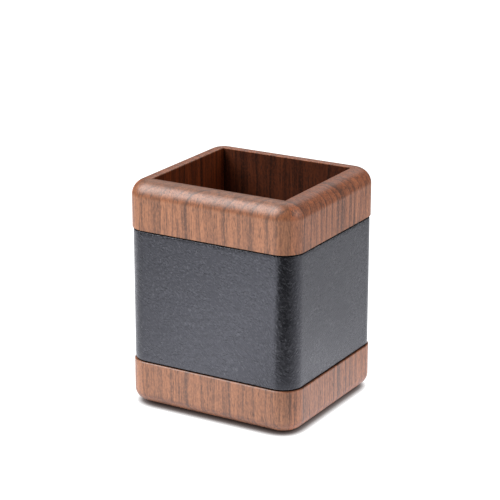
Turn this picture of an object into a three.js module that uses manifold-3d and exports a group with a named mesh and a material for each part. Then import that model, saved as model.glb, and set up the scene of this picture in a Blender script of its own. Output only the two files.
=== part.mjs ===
// Pen holder cup: four mitred walnut boards round an open square-cornered well, a floor board let
// into their lower edge, a leather strip in a shallow groove round the middle, and four small feet.
// Millimetres. +Z is up, -Y is the front, and the origin is on the desk, under the cup's centre.

import * as THREE from 'three';
import { mergeVertices } from 'three/addons/utils/BufferGeometryUtils.js';
import Module from 'manifold-3d';

const wasm = await Module();
wasm.setup();

// Driving dimensions.
const WIDTH = 82.5;
const DEPTH = 76;
const HEIGHT = 101;
const WALL = 9;

// Outside of the woodwork.
const CORNER_RADIUS = 9.5;
const TOP_ROUND = 7;
const BOTTOM_ROUND = 5;
const RIM_ARRIS = 0.5;

// Leather strip and the groove that it lies in, with heights above the desk.
const GROOVE_BOTTOM = 20.4;
const GROOVE_TOP = 79.8;
const LEATHER_THICKNESS = 1.2;
const LEATHER_SETBACK = 0.4;
const LEATHER_EDGE_GAP = 0.5;
const LEATHER_BUTT_GAP = 0.3;

// Floor board and the rebate that it is let into.
const FLOOR_THICKNESS = 4;
const REBATE_DEPTH = 2.5;

// Feet.
const FOOT_HEIGHT = 1.4;
const FOOT_RADIUS = 5;
const FOOT_CHAMFER = 0.3;
const FOOT_INSET = 14.5;

// Film of glue between joined pieces.
const GLUE = 0.1;

// Smoothness of the facets.
const CORNER_SEGMENTS = 8;
const ROUND_SEGMENTS = 7;
const FOOT_SEGMENTS = 32;

// Lengths that follow from these.
const WOOD_HEIGHT = HEIGHT - FOOT_HEIGHT;
const GROOVE_DEPTH = LEATHER_THICKNESS + LEATHER_SETBACK + GLUE;
const WELL_WIDTH = WIDTH - 2 * WALL;
const WELL_DEPTH = DEPTH - 2 * WALL;

// How far a cutting body reaches past what it cuts.
const CUT_MARGIN = 2;

function toManifold(geometry) {
  geometry.deleteAttribute('normal');
  geometry.deleteAttribute('uv');
  const merged = mergeVertices(geometry);
  return new wasm.Manifold(new wasm.Mesh({
    numProp: 3,
    vertProperties: new Float32Array(merged.attributes.position.array),
    triVerts: new Uint32Array(merged.index.array),
  }));
}

function toGeometry(manifold) {
  const { vertProperties, triVerts } = manifold.getMesh();
  const geometry = new THREE.BufferGeometry();
  geometry.setAttribute('position', new THREE.BufferAttribute(vertProperties, 3));
  geometry.setIndex(new THREE.BufferAttribute(triVerts, 1));
  geometry.computeVertexNormals();
  return geometry;
}

// A rectangle centred on the Z axis, with its corners rounded to the radius given.
function roundedRectangle(width, depth, radius) {
  const x = width / 2 - radius;
  const y = depth / 2 - radius;
  const shape = new THREE.Shape();
  shape.moveTo(x, -y - radius);
  shape.absarc(x, -y, radius, -Math.PI / 2, 0, false);
  shape.absarc(x, y, radius, 0, Math.PI / 2, false);
  shape.absarc(-x, y, radius, Math.PI / 2, Math.PI, false);
  shape.absarc(-x, -y, radius, Math.PI, 1.5 * Math.PI, false);
  return shape;
}

function polygon(points) {
  return new THREE.Shape(points.map(([x, y]) => new THREE.Vector2(x, y)));
}

// An upright prism on a plan shape, from one height to another.
function prism(shape, bottom, top) {
  const geometry = new THREE.ExtrudeGeometry(shape, {
    depth: top - bottom,
    bevelEnabled: false,
    curveSegments: CORNER_SEGMENTS,
  });
  geometry.translate(0, 0, bottom);
  return toManifold(geometry);
}

// A block with rounded upright corners, and both its ends rounded over to the radius given.
function roundedBlock(width, depth, bottom, top, round) {
  const geometry = new THREE.ExtrudeGeometry(roundedRectangle(width, depth, CORNER_RADIUS), {
    depth: top - bottom - 2 * round,
    bevelEnabled: true,
    bevelThickness: round,
    bevelSize: round,
    bevelOffset: -round,
    bevelSegments: ROUND_SEGMENTS,
    curveSegments: CORNER_SEGMENTS,
  });
  geometry.translate(0, 0, bottom + round);
  return toManifold(geometry);
}

function rectangle(width, depth) {
  const x = width / 2;
  const y = depth / 2;
  return polygon([[-x, -y], [x, -y], [x, y], [-x, y]]);
}

// The well inside the boards, with the small arris that breaks the rim's inner edge.
function wellCutter(width, depth) {
  const wellWidth = width - 2 * WALL;
  const wellDepth = depth - 2 * WALL;
  const well = prism(rectangle(wellWidth, wellDepth), -CUT_MARGIN, WOOD_HEIGHT + CUT_MARGIN);
  const arris = new THREE.ExtrudeGeometry(rectangle(wellWidth, wellDepth), {
    depth: CUT_MARGIN,
    bevelEnabled: true,
    bevelThickness: RIM_ARRIS,
    bevelSize: RIM_ARRIS,
    bevelSegments: 1,
  });
  arris.translate(0, 0, WOOD_HEIGHT);
  return well.add(toManifold(arris));
}

// The shallow groove round the outside that the leather strip lies in.
function grooveCutter(width, depth) {
  const bottom = GROOVE_BOTTOM - FOOT_HEIGHT;
  const top = GROOVE_TOP - FOOT_HEIGHT;
  const outside = prism(rectangle(width + 2 * CUT_MARGIN, depth + 2 * CUT_MARGIN), bottom, top);
  const core = roundedRectangle(
    width - 2 * GROOVE_DEPTH,
    depth - 2 * GROOVE_DEPTH,
    CORNER_RADIUS - GROOVE_DEPTH,
  );
  return outside.subtract(prism(core, bottom - CUT_MARGIN, top + CUT_MARGIN));
}

function rebateCutter(width, depth) {
  const margin = 2 * (WALL - REBATE_DEPTH);
  const plan = rectangle(width - margin, depth - margin);
  return prism(plan, -CUT_MARGIN, FLOOR_THICKNESS + GLUE);
}

// The plan of the board on the -Y side: a trapezium whose ends are 45 degree mitres, each drawn
// back by half a film of glue. It is wider than the board, which keeps its own rounded outside.
function mitrePlan(width, depth) {
  const glueShift = GLUE / Math.SQRT2;
  const inner = WALL + CUT_MARGIN;
  const outerX = width / 2 + CUT_MARGIN - glueShift;
  const innerX = width / 2 - inner - glueShift;
  const outerY = -depth / 2 - CUT_MARGIN;
  const innerY = -depth / 2 + inner;
  return polygon([[-outerX, outerY], [outerX, outerY], [innerX, innerY], [-innerX, innerY]]);
}

// The board on the -Y side of a cup of the width and depth given, standing at height 0.
function boardGeometry(width, depth) {
  const middle = WOOD_HEIGHT / 2;
  const lowerBlock = roundedBlock(width, depth, 0, middle + 2 * BOTTOM_ROUND, BOTTOM_ROUND);
  const upperBlock = roundedBlock(width, depth, middle - 2 * TOP_ROUND, WOOD_HEIGHT, TOP_ROUND);
  const board = lowerBlock
    .add(upperBlock)
    .subtract(wellCutter(width, depth))
    .subtract(grooveCutter(width, depth))
    .subtract(rebateCutter(width, depth))
    .intersect(prism(mitrePlan(width, depth), -CUT_MARGIN, WOOD_HEIGHT + CUT_MARGIN));
  return toGeometry(board);
}

function floorGeometry() {
  const width = WELL_WIDTH + 2 * REBATE_DEPTH - 2 * GLUE;
  const depth = WELL_DEPTH + 2 * REBATE_DEPTH - 2 * GLUE;
  const geometry = new THREE.BoxGeometry(width, depth, FLOOR_THICKNESS);
  geometry.translate(0, 0, FLOOR_THICKNESS / 2);
  return geometry;
}

// One strip bent round all four sides, its two ends meeting at the middle of the back.
function leatherGeometry() {
  const height = GROOVE_TOP - GROOVE_BOTTOM - 2 * LEATHER_EDGE_GAP;
  const inset = LEATHER_SETBACK + LEATHER_THICKNESS;
  const outer = roundedRectangle(
    WIDTH - 2 * LEATHER_SETBACK,
    DEPTH - 2 * LEATHER_SETBACK,
    CORNER_RADIUS - LEATHER_SETBACK,
  );
  const inner = roundedRectangle(WIDTH - 2 * inset, DEPTH - 2 * inset, CORNER_RADIUS - inset);
  const buttSlot = rectangle(LEATHER_BUTT_GAP, DEPTH);
  const slot = prism(buttSlot, -CUT_MARGIN, height + CUT_MARGIN).translate([0, DEPTH / 2, 0]);
  const strip = prism(outer, 0, height)
    .subtract(prism(inner, -CUT_MARGIN, height + CUT_MARGIN))
    .subtract(slot);
  return toGeometry(strip);
}

function footGeometry() {
  const profile = [
    new THREE.Vector2(0, 0),
    new THREE.Vector2(FOOT_RADIUS - FOOT_CHAMFER, 0),
    new THREE.Vector2(FOOT_RADIUS, FOOT_CHAMFER),
    new THREE.Vector2(FOOT_RADIUS, FOOT_HEIGHT - GLUE),
    new THREE.Vector2(0, FOOT_HEIGHT - GLUE),
  ];
  const geometry = new THREE.LatheGeometry(profile, FOOT_SEGMENTS);
  geometry.rotateX(Math.PI / 2);
  return geometry;
}

const walnut = new THREE.MeshStandardMaterial({ color: 0x8a5d43, roughness: 0.5, metalness: 0 });
const floorWood = new THREE.MeshStandardMaterial({ color: 0x5f4030, roughness: 0.6, metalness: 0 });
const leather = new THREE.MeshStandardMaterial({ color: 0x26272b, roughness: 0.45, metalness: 0 });
const rubber = new THREE.MeshStandardMaterial({ color: 0x141414, roughness: 0.85, metalness: 0 });

function addPiece(parent, name, geometry, material) {
  const mesh = new THREE.Mesh(geometry, material);
  mesh.name = name;
  parent.add(mesh);
  return mesh;
}

const group = new THREE.Group();

// The woodwork stands on the feet.
const woodwork = new THREE.Group();
woodwork.position.z = FOOT_HEIGHT;
group.add(woodwork);

const boards = [
  ['wall_front', WIDTH, DEPTH],
  ['wall_right', DEPTH, WIDTH],
  ['wall_back', WIDTH, DEPTH],
  ['wall_left', DEPTH, WIDTH],
];
boards.forEach(([name, width, depth], quarterTurns) => {
  const board = addPiece(woodwork, name, boardGeometry(width, depth), walnut);
  board.rotation.z = quarterTurns * Math.PI / 2;
});
addPiece(woodwork, 'floor_panel', floorGeometry(), floorWood);

const strip = addPiece(group, 'leather_wrap', leatherGeometry(), leather);
strip.position.z = GROOVE_BOTTOM + LEATHER_EDGE_GAP;

const footX = WIDTH / 2 - FOOT_INSET;
const footY = DEPTH / 2 - FOOT_INSET;
const feet = [
  ['foot_front_left', -footX, -footY],
  ['foot_front_right', footX, -footY],
  ['foot_back_right', footX, footY],
  ['foot_back_left', -footX, footY],
];
feet.forEach(([name, x, y]) => {
  const foot = addPiece(group, name, footGeometry(), rubber);
  foot.position.set(x, y, 0);
});

export default group;
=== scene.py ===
"""Looks of the walnut and leather pen holder cup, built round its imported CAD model.

Metres, +Z up, the wide front face towards -Y. Sizes and places come from the CAD boxes; the few
that a box doesn't give, such as the radius of a round-over, are named below.
"""
import math

import bmesh
import bpy
from mathutils import Matrix, Vector, noise


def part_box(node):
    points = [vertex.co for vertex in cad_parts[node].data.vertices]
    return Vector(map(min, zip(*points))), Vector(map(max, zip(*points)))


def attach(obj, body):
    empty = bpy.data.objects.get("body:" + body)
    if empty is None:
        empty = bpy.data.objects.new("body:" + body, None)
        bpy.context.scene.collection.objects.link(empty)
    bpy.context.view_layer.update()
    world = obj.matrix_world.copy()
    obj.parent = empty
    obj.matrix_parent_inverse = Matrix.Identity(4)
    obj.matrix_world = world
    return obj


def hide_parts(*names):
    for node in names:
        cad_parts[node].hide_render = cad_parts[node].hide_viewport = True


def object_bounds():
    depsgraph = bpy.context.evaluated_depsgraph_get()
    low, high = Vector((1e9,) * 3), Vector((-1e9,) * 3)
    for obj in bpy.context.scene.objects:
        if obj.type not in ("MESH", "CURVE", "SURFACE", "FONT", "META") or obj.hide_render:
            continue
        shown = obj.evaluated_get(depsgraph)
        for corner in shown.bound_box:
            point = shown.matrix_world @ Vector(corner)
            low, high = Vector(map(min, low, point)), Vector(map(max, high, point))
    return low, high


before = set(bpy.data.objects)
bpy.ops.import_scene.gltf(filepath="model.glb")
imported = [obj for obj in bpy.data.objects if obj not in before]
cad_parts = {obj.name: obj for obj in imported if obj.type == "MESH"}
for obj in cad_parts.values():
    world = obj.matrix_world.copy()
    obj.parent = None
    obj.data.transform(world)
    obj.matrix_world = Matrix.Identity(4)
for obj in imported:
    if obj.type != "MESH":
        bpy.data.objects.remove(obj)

cad_low, cad_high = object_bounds()
MM = 0.001

# Shape of the woodwork, as in the CAD model.
CORNER_RADIUS = 9.5 * MM
TOP_ROUND = 7.0 * MM
BOTTOM_ROUND = 5.0 * MM
GROOVE_DEPTH = 1.7 * MM
REBATE_DEPTH = 2.5 * MM
REBATE_GAP = 0.1 * MM

# Its softened edges, round the mouth and at the lips of the groove. The middle point of the
# mouth's edge lies in from both faces by ARRIS_CUT of the edge's width.
RIM_ARRIS = 0.45 * MM
SHOULDER_ARRIS = 0.3 * MM
ARRIS_CUT = 0.3

# How far in from the outside the groove's lower ledge is bare wood with the oil finish, before the
# groove's black painted shade, and the width of the mitres' glue line.
BARE_LEDGE = 0.95 * MM
MITRE_GAP = 0.06 * MM

# The leather strip: its gap to the groove's edges, its rounded edges, how its face sinks beside
# them, and how uneven the face is.
LEATHER_THICKNESS = 1.2 * MM
STRIP_EDGE_GAP = 0.5 * MM
STRIP_EDGE_ROUND = 0.25 * MM
STRIP_EDGE_DIP = 0.13 * MM
STRIP_EDGE_DIP_WIDTH = 1.9 * MM
STRIP_WAVE = 0.05 * MM
STRIP_WAVE_LENGTH = 14 * MM
HALF_BUTT_GAP = 0.15 * MM

# The floor panel's edges, and the feet: their edges, the hollow of the sole, and the sole's
# section, as shares of the radius and of the hollow's depth.
PANEL_ARRIS = 0.25 * MM
FOOT_EDGE = 0.35 * MM
FOOT_TOP_EDGE = 0.1 * MM
FOOT_DISH = 0.08 * MM
FOOT_SOLE = ((0.0, 1.0), (0.55, 0.6), (0.8, 0.0))

# Fineness of the meshes.
ARC_STEPS = 14
CORNER_STEPS = 12
EDGE_STEPS = 5
PANEL_ARRIS_STEPS = 3
FOOT_STEPS = 64
STRIP_STEP = 1.2 * MM
SOFT_EDGE = math.radians(32)
WELD = 0.001 * MM


# ---------------------------------------------------------------- meshes


def mesh_object(name, bm, *materials):
    """A scene object from a bmesh, with its faces pointing out and smooth between soft edges."""
    bmesh.ops.recalc_face_normals(bm, faces=bm.faces)
    for face in bm.faces:
        face.smooth = True
    for edge in bm.edges:
        edge.smooth = edge.calc_face_angle(0.0) < SOFT_EDGE
    mesh = bpy.data.meshes.new(name)
    bm.to_mesh(mesh)
    bm.free()
    for material in materials:
        mesh.materials.append(material)
    piece = bpy.data.objects.new(name, mesh)
    bpy.context.scene.collection.objects.link(piece)
    return piece


def weighted_normals(piece):
    """Keeps the flats flat beside their round-overs."""
    modifier = piece.modifiers.new("weighted_normals", "WEIGHTED_NORMAL")
    modifier.keep_sharp = True


def loft(bm, rings):
    """Joins a row of closed rings of points with quads, and gives back the rings' vertices."""
    rows = [[bm.verts.new(point) for point in ring] for ring in rings]
    count = len(rows[0])
    for here, there in zip(rows, rows[1:]):
        for j in range(count):
            k = (j + 1) % count
            bm.faces.new((here[j], here[k], there[k], there[j]))
    return rows


def draw_in(rings, distance):
    """Moves the first and the last ring along x, towards each other."""
    for ring, side in ((rings[0], 1), (rings[-1], -1)):
        for point in ring:
            point.x += side * distance


def close_ends(bm, rows):
    for row in (rows[0], rows[-1]):
        bm.faces.new(row)


def arc(centre, radius, start, end, steps):
    """Points on an arc in a plane, from one angle to another in degrees, both ends included."""
    points = []
    for i in range(steps + 1):
        angle = math.radians(start + (end - start) * i / steps)
        points.append((centre[0] + radius * math.cos(angle), centre[1] + radius * math.sin(angle)))
    return points


# ---------------------------------------------------------------- boards


def board_profile(bottom, top, groove_bottom, groove_top, floor_top):
    """The section of a board, as (side, inset, height, finish) points in order round it.

    Side "out" measures the inset inwards from the outside face; side "in" measures it outwards
    from the face of the well. The finish is that of the surface up to the next point.
    """
    points = []
    for inset, height in arc((BOTTOM_ROUND, bottom + BOTTOM_ROUND), BOTTOM_ROUND, 270, 180, ARC_STEPS):
        points.append(("out", inset, height, "outside"))
    points.append(("out", 0, groove_bottom - SHOULDER_ARRIS, "outside"))
    points.append(("out", SHOULDER_ARRIS, groove_bottom, "outside"))
    points.append(("out", BARE_LEDGE, groove_bottom, "groove"))
    points.append(("out", GROOVE_DEPTH, groove_bottom, "groove"))
    points.append(("out", GROOVE_DEPTH, groove_top, "groove"))
    points.append(("out", SHOULDER_ARRIS, groove_top, "groove"))
    points.append(("out", 0, groove_top + SHOULDER_ARRIS, "outside"))
    for inset, height in arc((TOP_ROUND, top - TOP_ROUND), TOP_ROUND, 180, 90, ARC_STEPS):
        points.append(("out", inset, height, "outside"))
    points.append(("in", RIM_ARRIS, top, "outside"))
    points.append(("in", RIM_ARRIS * ARRIS_CUT, top - RIM_ARRIS * ARRIS_CUT, "outside"))
    points.append(("in", 0, top - RIM_ARRIS, "well"))
    points.append(("in", 0, floor_top + REBATE_GAP, "well"))
    points.append(("in", REBATE_DEPTH, floor_top + REBATE_GAP, "well"))
    points.append(("in", REBATE_DEPTH, bottom, "outside"))
    return points


def board_stations(width, wall):
    """Places along a board: the outside point and normal, the well's point, and how far it is
    into the corner, from 0 on the straight to 1 at the mitre. The outside face is at y = 0."""
    half = width / 2
    straight = half - CORNER_RADIUS
    well = half - wall
    stations = []
    for i in range(CORNER_STEPS, -1, -1):
        share = i / CORNER_STEPS
        angle = math.radians(45 * share)
        normal = (-math.sin(angle), -math.cos(angle))
        outside = (-straight + CORNER_RADIUS * normal[0], CORNER_RADIUS * (1 + normal[1]))
        stations.append((outside, normal, -straight + (straight - well) * share, share))
    right = [((-x, y), (-nx, ny), -q, s) for (x, y), (nx, ny), q, s in reversed(stations)]
    return stations + right


def make_board(name, quarter_turns, finishes):
    """One mitred board: its section swept along the cup's side and round half of each corner."""
    low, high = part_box(name)
    turned = quarter_turns % 2 == 1
    width = (cad_high.y - cad_low.y) if turned else (cad_high.x - cad_low.x)
    depth = (cad_high.x - cad_low.x) if turned else (cad_high.y - cad_low.y)
    wall = min(high.x - low.x, high.y - low.y)
    strip_low, strip_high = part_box("leather_wrap")
    groove = (strip_low.z - STRIP_EDGE_GAP, strip_high.z + STRIP_EDGE_GAP)
    profile = board_profile(low.z, high.z, *groove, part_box("floor_panel")[1].z)
    rings = []
    for outside, normal, well_x, share in board_stations(width, wall):
        side = 1 if well_x > 0 else -1
        ring = []
        for face, inset, height, _ in profile:
            if face == "out":
                x = outside[0] - normal[0] * inset
                y = outside[1] - normal[1] * inset
            else:
                x = well_x + side * inset * share
                y = wall - inset
            ring.append(Vector((x, y - depth / 2, height)))
        rings.append(ring)
    draw_in(rings, MITRE_GAP / math.sqrt(2))
    bm = bmesh.new()
    rows = loft(bm, rings)
    for number, face in enumerate(bm.faces):
        face.material_index = list(finishes).index(profile[number % len(profile)][3])
    close_ends(bm, rows)
    bmesh.ops.rotate(bm, verts=bm.verts, matrix=Matrix.Rotation(quarter_turns * math.pi / 2, 3, "Z"))
    piece = mesh_object(name + "_board", bm, *finishes.values())
    weighted_normals(piece)
    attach(piece, "root")
    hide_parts(name)


# ---------------------------------------------------------------- leather


def strip_path(half_x, half_y, radius):
    """The outside line of the strip, from the butt joint at the middle of the back, clockwise as
    seen from above: (x, y, outward normal, distance along)."""
    path = []
    corners = ((1, 1, 90), (1, -1, 0), (-1, -1, 270), (-1, 1, 180))
    place = Vector((0, half_y))
    length = 0.0

    def straight_to(target, normal):
        nonlocal place, length
        span = (target - place).length
        count = max(1, round(span / STRIP_STEP))
        for i in range(count):
            point = place.lerp(target, i / count)
            path.append((point.x, point.y, normal, length + span * i / count))
        length += span
        place = target

    for sign_x, sign_y, start in corners:
        centre = Vector((sign_x * (half_x - radius), sign_y * (half_y - radius)))
        first = Vector((math.cos(math.radians(start)), math.sin(math.radians(start))))
        straight_to(centre + first * radius, first)
        count = CORNER_STEPS * 2
        for i in range(count):
            angle = math.radians(start - 90 * i / count)
            normal = Vector((math.cos(angle), math.sin(angle)))
            point = centre + normal * radius
            path.append((point.x, point.y, normal, length + radius * math.radians(90 * i / count)))
        length += radius * math.pi / 2
        turned = math.radians(start - 90)
        place = centre + Vector((math.cos(turned), math.sin(turned))) * radius
    end = Vector((0, half_y))
    straight_to(end, Vector((0, 1)))
    path.append((end.x, end.y, Vector((0, 1)), length))
    return path, length


def strip_section(height):
    """The strip's section, as (height, depth below the face) points in order round it."""
    edge = STRIP_EDGE_ROUND
    flat = height - 2 * STRIP_EDGE_DIP_WIDTH
    rows = round(flat / STRIP_STEP)
    lower = arc((edge, edge), edge, 180, 270, EDGE_STEPS)
    for i in range(1, EDGE_STEPS):
        lower.append((edge + (STRIP_EDGE_DIP_WIDTH - edge) * i / EDGE_STEPS, 0.0))
    face = [(STRIP_EDGE_DIP_WIDTH + flat * i / rows, 0.0) for i in range(rows + 1)]
    upper = [(height - h, depth) for h, depth in reversed(lower)]
    return lower + face + upper + [(height, LEATHER_THICKNESS), (0.0, LEATHER_THICKNESS)]


def make_strip(material):
    """The leather strip, wrapped once round, its edges rounded and pressed a little into the
    groove, its face very slightly uneven."""
    low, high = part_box("leather_wrap")
    half_x, half_y = (high.x - low.x) / 2, (high.y - low.y) / 2
    radius = CORNER_RADIUS - (cad_high.x - high.x)
    height = high.z - low.z
    path, length = strip_path(half_x, half_y, radius)
    section = strip_section(height)
    rings = []
    places = []
    for x, y, normal, along in path:
        ring = []
        for h, depth in section:
            near_edge = min(h, height - h) / STRIP_EDGE_DIP_WIDTH
            dip = STRIP_EDGE_DIP * (1 - min(1.0, near_edge)) ** 2
            wave = noise.noise(Vector((x, y, h)) / STRIP_WAVE_LENGTH) * STRIP_WAVE
            inset = depth
            if depth < LEATHER_THICKNESS:
                inset += dip + STRIP_WAVE - wave
            ring.append(Vector((x - normal.x * inset, y - normal.y * inset, low.z + h)))
        rings.append(ring)
        places.append([(along, h) for h, _ in section])
    draw_in(rings, HALF_BUTT_GAP)
    bm = bmesh.new()
    layer = bm.verts.layers.float_vector.new("strip_place")
    rows = loft(bm, rings)
    for row, marks in zip(rows, places):
        for vert, (along, h) in zip(row, marks):
            vert[layer] = (along, h, 0.0)
    close_ends(bm, rows)
    piece = mesh_object("leather_strip", bm, material)
    weighted_normals(piece)
    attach(piece, "root")
    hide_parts("leather_wrap")


# ---------------------------------------------------------------- floor panel and feet


def make_floor_panel(material):
    """The board that closes the well below, its edges a little softened."""
    low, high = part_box("floor_panel")
    size, centre = high - low, (high + low) / 2
    bm = bmesh.new()
    bmesh.ops.create_cube(bm, size=1.0)
    bmesh.ops.scale(bm, verts=bm.verts, vec=size)
    bmesh.ops.translate(bm, verts=bm.verts, vec=centre)
    bmesh.ops.bevel(bm, geom=bm.edges, offset=PANEL_ARRIS, segments=PANEL_ARRIS_STEPS, profile=0.5,
                    affect="EDGES")
    piece = mesh_object("floor_board", bm, material)
    weighted_normals(piece)
    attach(piece, "root")
    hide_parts("floor_panel")


def make_foot(name, material):
    """A round pad with a softened lower edge and a slightly dished sole."""
    low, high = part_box(name)
    centre = (low + high) / 2
    radius = (high.x - low.x) / 2
    outline = [(radius * share, FOOT_DISH * rise) for share, rise in FOOT_SOLE]
    outline += arc((radius - FOOT_EDGE, FOOT_EDGE), FOOT_EDGE, 270, 360, EDGE_STEPS)
    outline += [(radius, high.z - FOOT_TOP_EDGE), (radius - FOOT_TOP_EDGE, high.z), (0.0, high.z)]
    bm = bmesh.new()
    verts = [bm.verts.new((centre.x + r, centre.y, z)) for r, z in outline]
    edges = [bm.edges.new(pair) for pair in zip(verts, verts[1:])]
    bmesh.ops.spin(bm, geom=verts + edges, cent=(centre.x, centre.y, 0), axis=(0, 0, 1),
                   angle=math.tau, steps=FOOT_STEPS)
    bmesh.ops.remove_doubles(bm, verts=bm.verts, dist=WELD)
    piece = mesh_object(name + "_pad", bm, material)
    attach(piece, "root")
    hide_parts(name)


# ---------------------------------------------------------------- materials


class Graph:
    """A short way to write a node tree: sockets or plain values go in, and a socket comes out."""

    def __init__(self, name):
        self.material = bpy.data.materials.new(name)
        self.material.use_nodes = True
        self.tree = self.material.node_tree
        self.shader = self.tree.nodes["Principled BSDF"]

    def put(self, value, socket):
        if isinstance(value, bpy.types.NodeSocket):
            self.tree.links.new(value, socket)
        else:
            socket.default_value = value

    def node(self, kind, **settings):
        made = self.tree.nodes.new(kind)
        for key, value in settings.items():
            setattr(made, key, value)
        return made

    def math(self, operation, a, b=0.0):
        made = self.node("ShaderNodeMath", operation=operation)
        for value, socket in zip((a, b), made.inputs):
            self.put(value, socket)
        return made.outputs[0]

    def weighed(self, *pairs):
        """The sum of values, each times its weight."""
        total = 0.0
        for value, weight in pairs:
            total = self.math("ADD", total, self.math("MULTIPLY", value, weight))
        return total

    def combine(self, x, y, z):
        made = self.node("ShaderNodeCombineXYZ")
        for value, socket in zip((x, y, z), made.inputs):
            self.put(value, socket)
        return made.outputs[0]

    def separate(self, vector):
        made = self.node("ShaderNodeSeparateXYZ")
        self.put(vector, made.inputs[0])
        return made.outputs

    def length(self, x, y):
        made = self.node("ShaderNodeVectorMath", operation="LENGTH")
        self.put(self.combine(x, y, 0.0), made.inputs[0])
        return made.outputs["Value"]

    def millimetres(self, vector):
        made = self.node("ShaderNodeVectorMath", operation="MULTIPLY")
        self.put(vector, made.inputs[0])
        self.put((1 / MM,) * 3, made.inputs[1])
        return made.outputs["Vector"]

    def place(self):
        """The point in the cup's own frame, in millimetres."""
        return self.millimetres(self.node("ShaderNodeTexCoord").outputs["Object"])

    def grain(self, place, scales, shift=0.0):
        """A place scaled by one number across the grain and by another along it, then shifted."""
        x, y, z = place
        across, along = scales
        return self.combine(self.math("ADD", self.math("MULTIPLY", x, across), shift),
                            self.math("MULTIPLY", y, across), self.math("MULTIPLY", z, along))

    def noise(self, vector, scale, detail=2.0, rough=0.5):
        made = self.node("ShaderNodeTexNoise")
        self.put(vector, made.inputs["Vector"])
        made.inputs["Scale"].default_value = scale
        made.inputs["Detail"].default_value = detail
        made.inputs["Roughness"].default_value = rough
        return made.outputs["Fac"]

    def drift(self, vector, amplitude):
        """A slow change to both sides of zero."""
        return self.math("MULTIPLY", self.math("SUBTRACT", self.noise(vector, 1.0), 0.5), amplitude)

    def cells(self, vector, scale, feature="F1"):
        made = self.node("ShaderNodeTexVoronoi", feature=feature)
        self.put(vector, made.inputs["Vector"])
        made.inputs["Scale"].default_value = scale
        return made.outputs["Distance"]

    def span(self, value, low, high, to_low=0.0, to_high=1.0, smooth=False):
        made = self.node("ShaderNodeMapRange", interpolation_type="SMOOTHSTEP" if smooth else "LINEAR")
        for given, socket in zip((value, low, high, to_low, to_high), made.inputs):
            self.put(given, socket)
        return made.outputs[0]

    def ramp(self, factor, stops):
        """Colours, or plain brightnesses, at places from 0 to 1."""
        made = self.node("ShaderNodeValToRGB")
        while len(made.color_ramp.elements) < len(stops):
            made.color_ramp.elements.new(0.5)
        for element, (position, colour) in zip(made.color_ramp.elements, stops):
            element.position = position
            element.color = (*colour, 1.0) if isinstance(colour, tuple) else (colour,) * 3 + (1.0,)
        self.put(factor, made.inputs["Fac"])
        return made.outputs["Color"]

    def mix(self, factor, a, b, blend="MIX"):
        made = self.node("ShaderNodeMix", data_type="RGBA", blend_type=blend)
        self.put(factor, made.inputs["Factor"])
        self.put(a if isinstance(a, bpy.types.NodeSocket) else (*a, 1.0), made.inputs["A"])
        self.put(b if isinstance(b, bpy.types.NodeSocket) else (*b, 1.0), made.inputs["B"])
        return made.outputs["Result"]

    def bump(self, height, distance, strength):
        made = self.node("ShaderNodeBump")
        made.inputs["Strength"].default_value = strength
        made.inputs["Distance"].default_value = distance
        self.put(height, made.inputs["Height"])
        return made.outputs["Normal"]

    def surface(self, colour, roughness, normal, specular):
        self.put(colour, self.shader.inputs["Base Color"])
        self.put(roughness, self.shader.inputs["Roughness"])
        self.put(normal, self.shader.inputs["Normal"])
        self.shader.inputs["Specular IOR Level"].default_value = specular


# The walnut's figure. Lengths are in millimetres, and a scale is per millimetre: a pair gives it
# across the grain and along it.
TREE_LEAN = 0.012
SWAY = 7.0
SWAY_SCALES = (0.06, 0.016)
SHIVER = 1.1
SHIVER_SCALES = (0.35, 0.05)
RING_UNEVEN = 1.7
RING_UNEVEN_SCALE = 0.21
RING_STRENGTH_SCALE = 0.73
BROAD_SCALES = (0.34, 0.009)
STREAK_SCALES = (1.15, 0.035)
FIBRE_SCALES = (3.0, 0.22)
PORE_SCALES = (1.9, 0.24)
PORE_PATCH_SCALE = 0.4
SPECK_SCALES = (1.7, 0.9)
BLOTCH_SCALE = 0.42

# How dark one ring is, from the wood of its spring to that of its autumn.
RING_SHADE = ((0.0, 0.9), (0.05, 0.06), (0.45, 0.10), (0.80, 0.42), (0.93, 1.0), (1.0, 1.0))

# How strongly each feature shows in the colour.
RING_DEPTH = 0.90
STREAK_DEPTH = 0.88
PALE_STREAK_DEPTH = 0.45
FIBRE_DEPTH = 0.55
PORE_DEPTH = 0.85
SPECK_DEPTH = 0.30
END_GRAIN_AND_SHADE_DEPTH = 0.95
BLOTCH_DEPTH = 0.35

# What the flat top's colour is multiplied by, a painted shade, the roughness of the fibres and what
# the pores add to it, the relief, and the gloss outside and in the well.
TOP_PAINTED_SHADE = (0.68, 0.71, 0.78)
WOOD_ROUGHNESS = (0.38, 0.50)
PORE_ROUGHNESS = 0.2
WOOD_RELIEF = 0.05 * MM
WOOD_GLOSS = 0.8
WELL_GLOSS = 0.3


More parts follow.
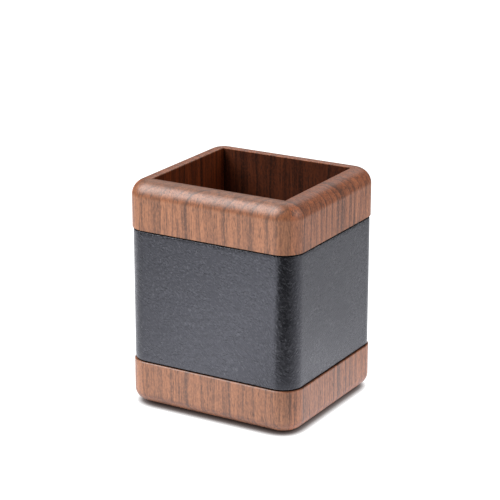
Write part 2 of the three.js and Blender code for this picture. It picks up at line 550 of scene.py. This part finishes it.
def walnut(name, heart, ring_width, tone, shift, gloss, grain_along_x=False):
    """Solid walnut: annual rings round a heart line, which the grain runs beside, with pores and
    fibres along it. heart is the place of the tree's heart in plan, in millimetres. Noise lies
    round 0.5, so the ranges given with it say how much of the wood each feature takes."""
    g = Graph(name)
    place = g.place()
    x, y, z = g.separate(place)[:3]
    if grain_along_x:
        x, y, z = z, y, x
    x = g.math("ADD", x, g.math("MULTIPLY", z, TREE_LEAN))
    upright = (x, y, z)
    sway = g.drift(g.grain(upright, SWAY_SCALES, shift), SWAY)
    shiver = g.drift(g.grain(upright, SHIVER_SCALES, shift), SHIVER)
    from_heart = g.length(g.math("SUBTRACT", x, heart[0]), g.math("SUBTRACT", y, heart[1]))
    radius = g.math("ADD", from_heart, g.math("ADD", sway, shiver))
    uneven = g.noise(g.combine(g.math("MULTIPLY", radius, RING_UNEVEN_SCALE), shift, 0.0), 1.0, 1.0)
    rings = g.math("ADD", g.math("DIVIDE", radius, ring_width), g.math("MULTIPLY", uneven, RING_UNEVEN))
    ring_number = g.math("MULTIPLY", g.math("FLOOR", rings), RING_STRENGTH_SCALE)
    strength = g.noise(g.combine(ring_number, shift, 0.0), 1.0, 0.0)

    # Each ring darkens slowly outwards and stops short; how dark differs from ring to ring.
    late = g.ramp(g.math("FRACT", rings), RING_SHADE)
    late = g.math("MULTIPLY", late, g.span(strength, 0.35, 0.65, 0.5, 1.0))

    # Fibre streaks at three finenesses, then the vessels, which show as short dark strokes, and a
    # fine mottle.
    broad = g.noise(g.grain(upright, BROAD_SCALES, shift), 1.0)
    streak = g.noise(g.grain(upright, STREAK_SCALES, shift), 1.0, 3.0, 0.7)
    fibre = g.noise(g.grain(upright, FIBRE_SCALES), 1.0, 3.0, 0.65)
    pore_place = g.grain(upright, PORE_SCALES)
    pore = g.span(g.cells(pore_place, 1.0), 0.12, 0.34, 1.0, 0.0)
    pore = g.math("MULTIPLY", pore, g.span(g.noise(pore_place, PORE_PATCH_SCALE, 1.0), 0.42, 0.58))
    speck = g.noise(g.grain(upright, SPECK_SCALES), 1.0, 1.0)

    light, middle, dark, deep, oil_and_shade = tone
    colour = g.mix(g.span(broad, 0.38, 0.62), light, middle)
    colour = g.mix(g.span(streak, 0.50, 0.68, 0.0, STREAK_DEPTH), colour, dark)
    colour = g.mix(g.span(streak, 0.46, 0.30, 0.0, PALE_STREAK_DEPTH), colour, light)
    colour = g.mix(g.math("MULTIPLY", late, RING_DEPTH), colour, dark)
    colour = g.mix(g.span(fibre, 0.48, 0.68, 0.0, FIBRE_DEPTH), colour, dark)
    colour = g.mix(g.span(speck, 0.50, 0.66, 0.0, SPECK_DEPTH), colour, dark)
    colour = g.mix(g.span(speck, 0.48, 0.34, 0.0, SPECK_DEPTH), colour, light)
    colour = g.mix(g.math("MULTIPLY", pore, PORE_DEPTH), colour, deep)

    # End grain drinks the oil, so the wood deepens as soon as its surface turns up, in blotches;
    # that early deepening is partly painted shade, the dark band just below the rim's highlight.
    # It is darkest and greyest on the flat of the rim, where it is painted shade on the top.
    facing = g.separate(g.node("ShaderNodeNewGeometry").outputs["Normal"])[0 if grain_along_x else 2]
    end_grain_and_shade = g.span(g.math("ABSOLUTE", facing), 0.0, 0.24, 0.0, END_GRAIN_AND_SHADE_DEPTH, smooth=True)
    blotch = g.noise(place, BLOTCH_SCALE, 3.0, 0.65)
    soaked_and_shaded = g.mix(g.span(blotch, 0.36, 0.64, 0.55, 1.0), colour, oil_and_shade, "MULTIPLY")
    soaked_and_shaded = g.mix(g.span(blotch, 0.54, 0.68, 0.0, BLOTCH_DEPTH), soaked_and_shaded, dark)
    colour = g.mix(end_grain_and_shade, colour, soaked_and_shaded)
    # Painted shade: the flat top, facing up, is made darker and greyer.
    top_painted_shade_mask = g.span(facing, 0.70, 0.98, smooth=True)
    colour = g.mix(top_painted_shade_mask, colour, g.mix(1.0, colour, TOP_PAINTED_SHADE, "MULTIPLY"))

    roughness = g.weighed((g.span(fibre, 0.3, 0.7, *WOOD_ROUGHNESS), 1.0), (pore, PORE_ROUGHNESS))
    relief = g.weighed((fibre, 0.8), (pore, -1.0))
    g.surface(colour, roughness, g.bump(relief, WOOD_RELIEF, 0.6), gloss)
    return g.material


# The leather. Its creases lean up and away from the front corner. Scales are per millimetre.
CREASE_LEAN = math.radians(32)
WANDER_SCALE = 0.30
WANDER_ALONG = 3.0
WANDER_ACROSS = 2.4
CREASE_ALONG_SCALE = 0.85
CREASE_ACROSS_SCALE = 2.3
CREASE_SCALE = 0.9
FINE_SCALE = 2.2
BROAD_SCALE = 0.09
PEBBLE_HEIGHT = -0.7
CREASE_HEIGHT = 1.7
FINE_HEIGHT = 0.55
BROAD_HEIGHT = 0.8
LEATHER_RELIEF = 0.135 * MM
LEATHER_BLACK = (0.0025, 0.0026, 0.0032)
LEATHER_SOFT_BLACK = (0.0040, 0.0041, 0.0050)
LEATHER_CREASE_HIGHLIGHT = (0.062, 0.062, 0.068)
LEATHER_ROUGHNESS = (0.24, 0.33)
LEATHER_GLOSS = 1.0
LEATHER_TINT = (0.88, 0.89, 1.0, 1.0)


def black_leather(corner_along):
    """Smooth black cowhide: fine creased grain that leans one way on each side of the front corner,
    as the hide was rolled round it, with a painted highlight, a paler colour, on its highest creases,
    and a satin finish."""
    g = Graph("black_leather")
    coords = g.node("ShaderNodeAttribute", attribute_name="strip_place").outputs["Vector"]
    along, up = g.separate(g.millimetres(coords))[:2]
    folded = g.math("ABSOLUTE", g.math("SUBTRACT", along, corner_along / MM))
    wander = g.noise(g.combine(along, up, 0.0), WANDER_SCALE)
    lean_cos, lean_sin = math.cos(CREASE_LEAN), math.sin(CREASE_LEAN)
    a = g.weighed((folded, lean_cos), (up, lean_sin), (wander, WANDER_ALONG))
    b = g.weighed((up, lean_cos), (folded, -lean_sin), (wander, WANDER_ACROSS))
    stretched = g.combine(g.math("MULTIPLY", a, CREASE_ALONG_SCALE),
                          g.math("MULTIPLY", b, CREASE_ACROSS_SCALE), 0.0)
    pebble = g.cells(stretched, CREASE_SCALE, "SMOOTH_F1")
    crease = g.noise(stretched, CREASE_SCALE, 1.5)
    fine = g.noise(g.combine(along, up, 3.0), FINE_SCALE, 1.0)
    broad = g.noise(g.combine(along, up, 7.0), BROAD_SCALE)
    relief = g.weighed((pebble, PEBBLE_HEIGHT), (crease, CREASE_HEIGHT), (fine, FINE_HEIGHT),
                       (broad, BROAD_HEIGHT))
    colour = g.mix(g.span(broad, 0.35, 0.65), LEATHER_BLACK, LEATHER_SOFT_BLACK)
    # Painted highlight: the highest creases are made paler.
    colour = g.mix(g.span(crease, 0.56, 0.68), colour, LEATHER_CREASE_HIGHLIGHT)
    roughness = g.span(g.math("ADD", fine, broad), 0.7, 1.3, *LEATHER_ROUGHNESS)
    g.surface(colour, roughness, g.bump(relief, LEATHER_RELIEF, 0.8), LEATHER_GLOSS)
    g.shader.inputs["Specular Tint"].default_value = LEATHER_TINT
    return g.material


FINE_RELIEF = 0.03 * MM


def groove_painted_shade():
    """The groove, coloured black as painted shade in the gap beside the leather, so that no pale wood
    shows there.
    """
    g = Graph("groove_painted_shade")
    fibre = g.noise(g.grain(g.separate(g.place())[:3], (1.0, 0.1)), 1.6, 3.0, 0.6)
    colour = g.mix(g.span(fibre, 0.35, 0.65), (0.004, 0.0035, 0.003), (0.010, 0.008, 0.007))
    g.surface(colour, g.span(fibre, 0.3, 0.7, 0.75, 0.9), g.bump(fibre, FINE_RELIEF, 0.5), 0.2)
    return g.material


def rubber():
    """The matt, slightly dusty rubber of the feet."""
    g = Graph("rubber")
    place = g.place()
    grit = g.noise(place, 4.0, 3.0, 0.6)
    dust = g.noise(place, 0.5)
    colour = g.mix(g.span(dust, 0.4, 0.7), (0.010, 0.010, 0.011), (0.022, 0.021, 0.020))
    g.surface(colour, g.span(grit, 0.3, 0.7, 0.72, 0.9), g.bump(grit, FINE_RELIEF, 0.5), 0.4)
    return g.material


# ---------------------------------------------------------------- the cup


# A tone is the colour of the palest wood, of the rest, of its dark lines and of its pores, and what
# oil, with painted shade, multiplies these by on end grain. FRONT_TONE and RIGHT_TONE differ partly
# as boards of walnut do and partly as painted light and shade, each set to how its face is lit.
FRONT_TONE = ((0.465, 0.188, 0.086), (0.345, 0.135, 0.060), (0.105, 0.042, 0.022), (0.028, 0.011, 0.007),
              (0.71, 0.55, 0.39))
RIGHT_TONE = ((0.53, 0.196, 0.087), (0.41, 0.145, 0.063), (0.092, 0.036, 0.020), (0.030, 0.012, 0.007),
              (0.88, 0.64, 0.42))
# The well's tones are painted shade, much darker and redder than the outside. The darker one, on the back
# wall, where the key light falls, and on the floor panel, is painted deeper shade; the other is on the
# front, right and left walls.
WELL_DEEP_SHADE_TONE = ((0.12, 0.030, 0.011), (0.075, 0.018, 0.007), (0.020, 0.006, 0.003), (0.006, 0.002, 0.001),
             (0.73, 0.55, 0.38))
WELL_SHADE_TONE = ((0.25, 0.050, 0.012), (0.150, 0.030, 0.007), (0.038, 0.009, 0.003), (0.010, 0.003, 0.002),
                 (0.73, 0.55, 0.38))

# Each board's node, the heart of the tree that it was cut from, the width of its rings, its tones
# outside and in the well, and a shift that makes its figure its own.
BOARDS = (
    ("wall_front", (-95.0, 70.0), 4.3, FRONT_TONE, WELL_SHADE_TONE, 3.1),
    ("wall_right", (-15.0, 150.0), 4.2, RIGHT_TONE, WELL_SHADE_TONE, 11.7),
    ("wall_back", (70.0, -60.0), 3.8, RIGHT_TONE, WELL_DEEP_SHADE_TONE, 23.3),
    ("wall_left", (10.0, 140.0), 3.9, RIGHT_TONE, WELL_SHADE_TONE, 37.9),
)
FLOOR_HEART = (60.0, -40.0)
FLOOR_RING_WIDTH = 3.2
FLOOR_SHIFT = 51.3

# The groove's black is painted shade, under the top band and beside the leather.
groove_black_shade = groove_painted_shade()
for turns, (node, heart, ring_width, tone, well_tone, shift) in enumerate(BOARDS):
    finishes = {
        "outside": walnut("walnut_" + node, heart, ring_width, tone, shift, WOOD_GLOSS),
        "groove": groove_black_shade,
        "well": walnut("walnut_well_" + node, heart, ring_width, well_tone, shift, WELL_GLOSS),
    }
    make_board(node, turns, finishes)

# The distance along the strip, from the butt joint, of the middle of the front right corner.
strip_low, strip_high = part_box("leather_wrap")
strip_corner = CORNER_RADIUS - (cad_high.x - strip_high.x)
straights = strip_high.x + (strip_high.y - strip_low.y) - 3 * strip_corner
front_corner = straights + 1.5 * strip_corner * math.pi / 2
make_strip(black_leather(front_corner))
# The floor panel wears the well's darker painted shade.
make_floor_panel(walnut("walnut_floor", FLOOR_HEART, FLOOR_RING_WIDTH, WELL_DEEP_SHADE_TONE, FLOOR_SHIFT, WELL_GLOSS,
                        grain_along_x=True))

pad_rubber = rubber()
for node in ("foot_front_left", "foot_front_right", "foot_back_right", "foot_back_left"):
    make_foot(node, pad_rubber)


# ---------------------------------------------------------------- stage


# The table's half width, and how bright it looks to the camera.
TABLE_HALF = 6.0
TABLE_LIGHT = 1.35

# How bright the table is where the cup mirrors it: by azimuth round the cup, close to it, and the
# distances over which that brightness takes over near the cup and dies away far from it.
TABLE_ROUND = ((-180, 0.9), (-100, 1.2), (-60, 0.85), (-40, 1.0), (-20, 1.9), (-7, 1.8), (9, 0.12),
               (48, 0.12), (80, 0.5), (105, 0.85), (140, 0.78), (180, 0.8))
TABLE_NEAR = 1.3
NEAR_REACH = (0.05, 0.13)
FAR_REACH = (0.24, 0.55)
FAR_FADE = 0.9
MIRRORED_TABLE = 1.28
MIRRORED_TINT = (0.95, 0.955, 1.0)

# The shadow on the table, from fully shaded to open.
SHADOW_REACH = 7 * MM
SHADOW_SAMPLES = 32
SHADOW_TONES = ((0.0, (0.010, 0.006, 0.005)), (0.12, (0.022, 0.014, 0.012)), (0.32, (0.15, 0.125, 0.12)),
                (0.50, (0.58, 0.56, 0.56)), (0.64, (1.0, 1.0, 1.0)))

# Square soft boxes: azimuth, elevation, distance, width, and how bright the surface looks.
SOFT_BOXES = {
    "key_left": (-50, 48, 1.2, 1.0, 7.2),
    "bank_back": (200, 50, 1.3, 1.0, 1.6),
    "fill_right": (105, 30, 1.3, 0.9, 2.0),
}
ROOM_LIGHT = 0.15

# The camera looks at the point of the cup's axis at this height, moved this far right and up in
# its own view. The sensor and the lens are in millimetres.
CAMERA_AZIMUTH = 30.54
CAMERA_ELEVATION = 18.11
CAMERA_DISTANCE = 0.8386
CAMERA_AIM_HEIGHT = 0.05296
CAMERA_AIM_RIGHT = -0.00119
CAMERA_AIM_UP = 0.01259
CAMERA_SENSOR = 36.0
CAMERA_LENS = 138.7368


def direction(azimuth, elevation):
    """The unit vector towards a place round the cup: azimuth 0 is in front of it, 90 to its right."""
    a, e = math.radians(azimuth), math.radians(elevation)
    return Vector((math.sin(a) * math.cos(e), -math.cos(a) * math.cos(e), math.sin(e)))


def make_floor():
    """A white table, evenly lit, with a short soft shadow close round the cup. What the cup mirrors
    of the table is a second glow, which glossy rays alone see and which differs with the direction,
    as in a studio with a white sweep at its sides and an unlit room in front."""
    bm = bmesh.new()
    bmesh.ops.create_grid(bm, x_segments=1, y_segments=1, size=TABLE_HALF)
    g = Graph("studio_floor")
    x, y = g.separate(g.node("ShaderNodeTexCoord").outputs["Object"])[:2]
    reach = g.length(x, y)
    bearing = g.math("MULTIPLY", g.math("ARCTAN2", x, g.math("MULTIPLY", y, -1.0)), 180 / math.pi)
    round_stops = tuple(((azimuth + 180) / 360, value) for azimuth, value in TABLE_ROUND)
    glow = g.ramp(g.span(bearing, -180.0, 180.0), round_stops)
    near = g.span(reach, *NEAR_REACH, 1.0, 0.0, smooth=True)
    glow = g.mix(near, glow, (TABLE_NEAR,) * 3)
    glow = g.mix(g.span(reach, *FAR_REACH, 0.0, FAR_FADE, smooth=True), glow, (0.0, 0.0, 0.0))
    shade = g.node("ShaderNodeAmbientOcclusion", samples=SHADOW_SAMPLES)
    shade.inputs["Distance"].default_value = SHADOW_REACH
    shadow = g.ramp(shade.outputs["AO"], SHADOW_TONES)
    mirrored = g.node("ShaderNodeEmission")
    tinted = g.mix(1.0, glow, MIRRORED_TINT, "MULTIPLY")
    g.put(g.mix(1.0, tinted, shadow, "MULTIPLY"), mirrored.inputs["Color"])
    mirrored.inputs["Strength"].default_value = MIRRORED_TABLE
    lit = g.node("ShaderNodeEmission")
    g.put(shadow, lit.inputs["Color"])
    lit.inputs["Strength"].default_value = TABLE_LIGHT
    either = g.node("ShaderNodeMixShader")
    g.put(g.node("ShaderNodeLightPath").outputs["Is Glossy Ray"], either.inputs["Fac"])
    g.put(lit.outputs[0], either.inputs[1])
    g.put(mirrored.outputs[0], either.inputs[2])
    g.put(either.outputs[0], g.tree.nodes["Material Output"].inputs["Surface"])
    g.tree.nodes.remove(g.shader)
    g.material.cycles.emission_sampling = "NONE"
    floor = mesh_object("studio_floor", bm, g.material)


def soft_light(name, azimuth, elevation, distance, width, radiance):
    """A square soft box that faces the middle of the cup. radiance is how bright it looks."""
    lamp = bpy.data.lights.new(name, "AREA")
    lamp.shape = "SQUARE"
    lamp.size = width
    lamp.energy = radiance * width * width * math.pi
    towards = direction(azimuth, elevation)
    light = bpy.data.objects.new(name, lamp)
    light.location = (cad_low + cad_high) / 2 + towards * distance
    light.rotation_euler = towards.to_track_quat("Z", "Y").to_euler()
    bpy.context.scene.collection.objects.link(light)


def make_world():
    world = bpy.data.worlds.new("studio")
    world.use_nodes = True
    background = world.node_tree.nodes["Background"]
    background.inputs["Color"].default_value = (1.0, 1.0, 1.0, 1.0)
    background.inputs["Strength"].default_value = ROOM_LIGHT
    bpy.context.scene.world = world


def make_camera():
    back = direction(CAMERA_AZIMUTH, CAMERA_ELEVATION)
    turn = math.radians(CAMERA_AZIMUTH)
    right = Vector((math.cos(turn), math.sin(turn), 0.0))
    up = back.cross(right)
    aim = Vector((0, 0, CAMERA_AIM_HEIGHT)) + right * CAMERA_AIM_RIGHT + up * CAMERA_AIM_UP
    data = bpy.data.cameras.new("camera")
    data.sensor_width = CAMERA_SENSOR
    data.lens = CAMERA_LENS
    data.dof.use_dof = False
    camera = bpy.data.objects.new("camera", data)
    camera.matrix_world = Matrix((right, up, back)).transposed().to_4x4()
    camera.location = aim + back * CAMERA_DISTANCE
    bpy.context.scene.collection.objects.link(camera)
    bpy.context.scene.camera = camera


make_camera()
make_floor()
make_world()
for box_name, settings in SOFT_BOXES.items():
    soft_light(box_name, *settings)
bpy.context.scene.view_settings.view_transform = "Standard"
